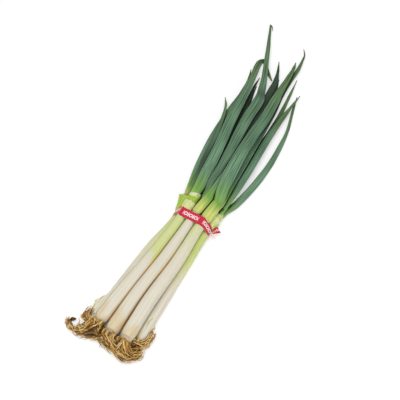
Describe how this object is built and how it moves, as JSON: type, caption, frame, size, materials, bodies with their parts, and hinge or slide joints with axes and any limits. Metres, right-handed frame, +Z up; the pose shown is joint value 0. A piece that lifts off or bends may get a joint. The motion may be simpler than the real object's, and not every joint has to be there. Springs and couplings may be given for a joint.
{
  "type": "spring onion bunch",
  "caption": "Bunch of long white-shanked spring onions with roots and flat green leaves, tied with a red tape and lying on its side.",
  "frame": {"origin": "middle of the tape's flat underside, on the surface that the bunch lies on", "axes": "+Y along the bunch from the roots to the leaf tips, +Z up from the surface, +X across the bunch"},
  "size_m": [0.1457, 0.6807, 0.0382],
  "materials": {
    "sheath": "satin",
    "leaf": "satin",
    "root": "matte",
    "tape": "gloss"
  },
  "bodies": {
    "root": {"shank_1": "sheath", "shank_2": "sheath", "shank_3": "sheath", "shank_4": "sheath", "shank_5": "sheath", "shank_6": "sheath", "shank_7": "sheath", "leaf_1a": "leaf", "leaf_1b": "leaf", "leaf_1c": "leaf", "leaf_2a": "leaf", "leaf_2b": "leaf", "leaf_3a": "leaf", "leaf_3b": "leaf", "leaf_3c": "leaf", "leaf_4a": "leaf", "leaf_4b": "leaf", "leaf_5a": "leaf", "leaf_5b": "leaf", "leaf_6a": "leaf", "leaf_6b": "leaf", "leaf_6c": "leaf", "leaf_7a": "leaf", "leaf_7b": "leaf", "roots_1": "root", "roots_2": "root", "roots_3": "root", "roots_4": "root", "roots_5": "root", "roots_6": "root", "roots_7": "root", "tape": "tape"}
  },
  "joints": []
}
